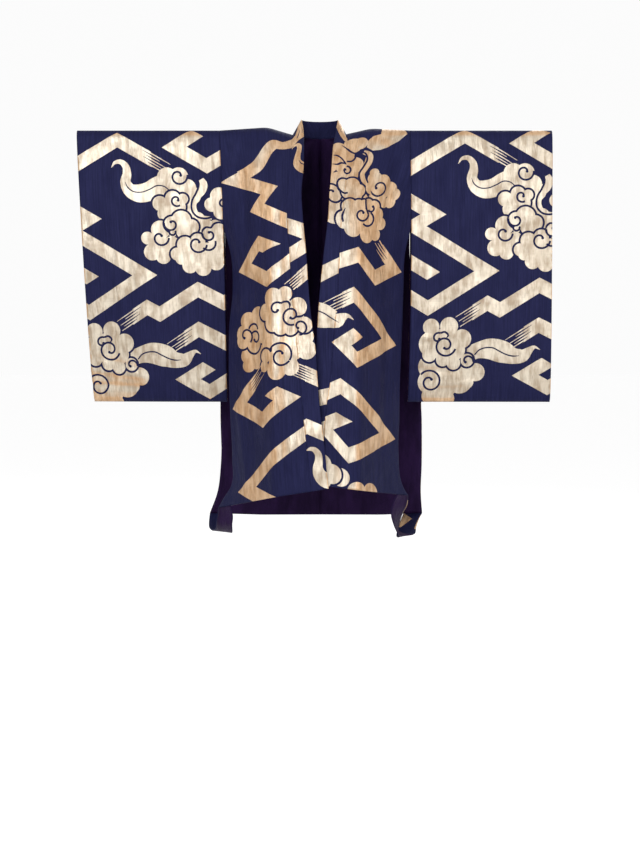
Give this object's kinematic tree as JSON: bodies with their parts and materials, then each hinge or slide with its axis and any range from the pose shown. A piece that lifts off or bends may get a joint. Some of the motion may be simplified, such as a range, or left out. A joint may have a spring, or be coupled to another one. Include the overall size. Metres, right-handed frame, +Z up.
{
  "type": "haori jacket",
  "caption": "Lined Japanese stage jacket worn open, with wide square sleeves, a long collar band, open sides and strips joining the hem corners.",
  "frame": {"origin": "middle of the neck on the shoulder line, where the wearer carries the jacket", "axes": "+X towards the wearer's left sleeve, +Y behind the wearer, +Z up out of the neck"},
  "size_m": [1.2643, 0.429, 1.1223],
  "materials": {
    "brocade": "navy silk twill with a woven pattern of flat gold thread",
    "lining_silk": "plain purple silk with a soft sheen"
  },
  "bodies": {
    "root": {"body_right": "brocade", "lining_body_right": "lining_silk", "body_left": "brocade", "lining_body_left": "lining_silk", "sleeve_right": "brocade", "lining_sleeve_right": "lining_silk", "sleeve_left": "brocade", "lining_sleeve_left": "lining_silk", "strip_right": "brocade", "lining_strip_right": "lining_silk", "strip_left": "brocade", "lining_strip_left": "lining_silk", "collar_band": "brocade"}
  },
  "joints": []
}
